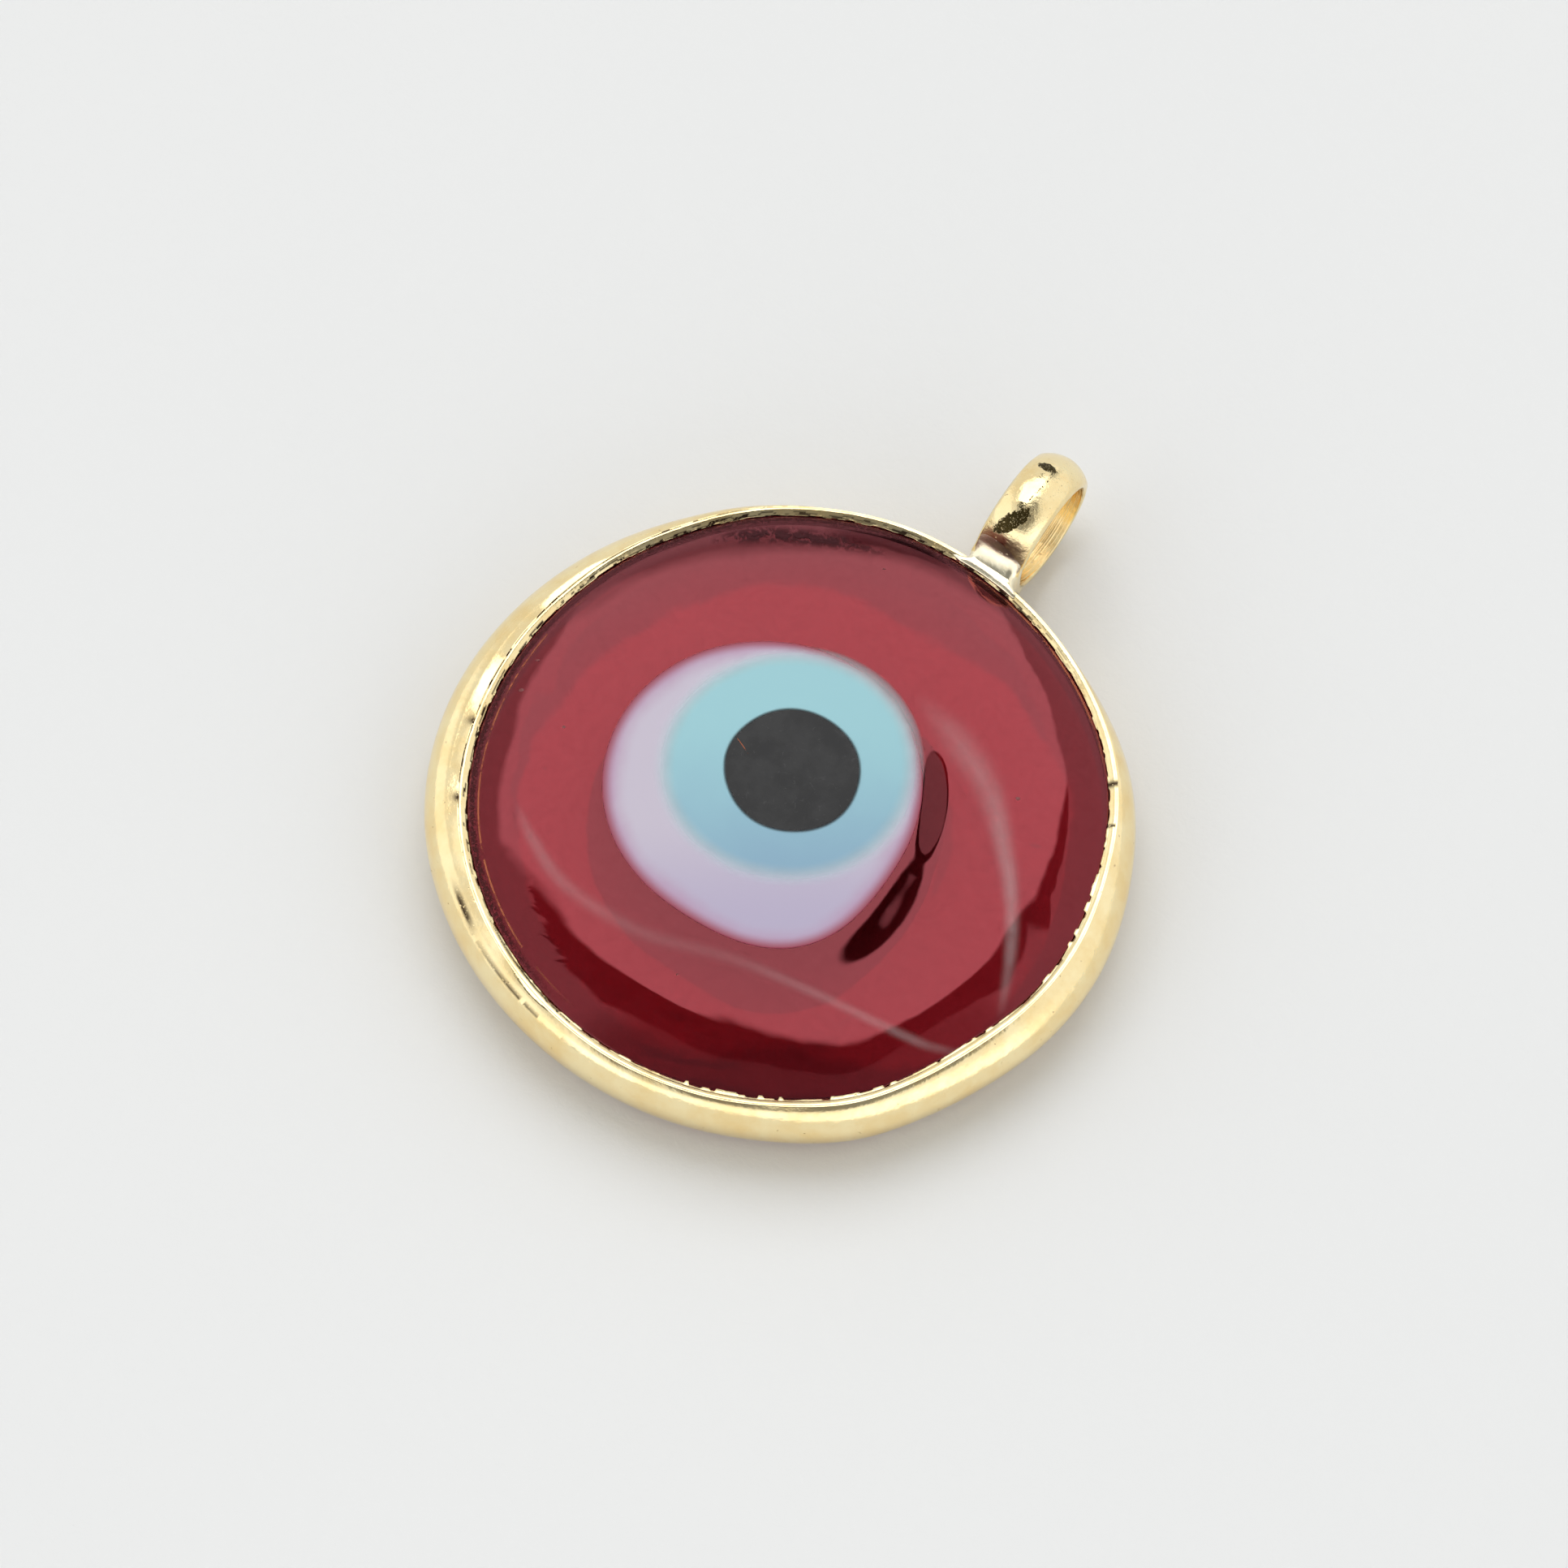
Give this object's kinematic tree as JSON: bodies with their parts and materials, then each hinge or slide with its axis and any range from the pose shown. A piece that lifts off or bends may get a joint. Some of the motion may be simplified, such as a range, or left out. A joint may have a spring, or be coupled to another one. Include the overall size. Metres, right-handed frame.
{
  "type": "evil eye charm",
  "caption": "Round red glass evil eye charm with a melted-in white, blue and black eye, a gold-plated edge band and a fixed bail ring.",
  "frame": {"origin": "middle of the flat glass back, which the charm rests on", "axes": "+Z out of the domed front, +Y from the middle of the disc towards the bail, +X to the right seen from the front"},
  "size_m": [0.0201, 0.0232, 0.0043],
  "materials": {
    "red_glass": "gloss",
    "white_glass": "gloss",
    "blue_glass": "gloss",
    "black_glass": "gloss",
    "gold_plate": "polished gold plating"
  },
  "bodies": {
    "root": {"glass_disc": "red_glass", "eye_white": "white_glass", "eye_iris": "blue_glass", "eye_pupil": "black_glass", "edge_band": "gold_plate", "bail_ring": "gold_plate", "bail_neck": "gold_plate"}
  },
  "joints": []
}
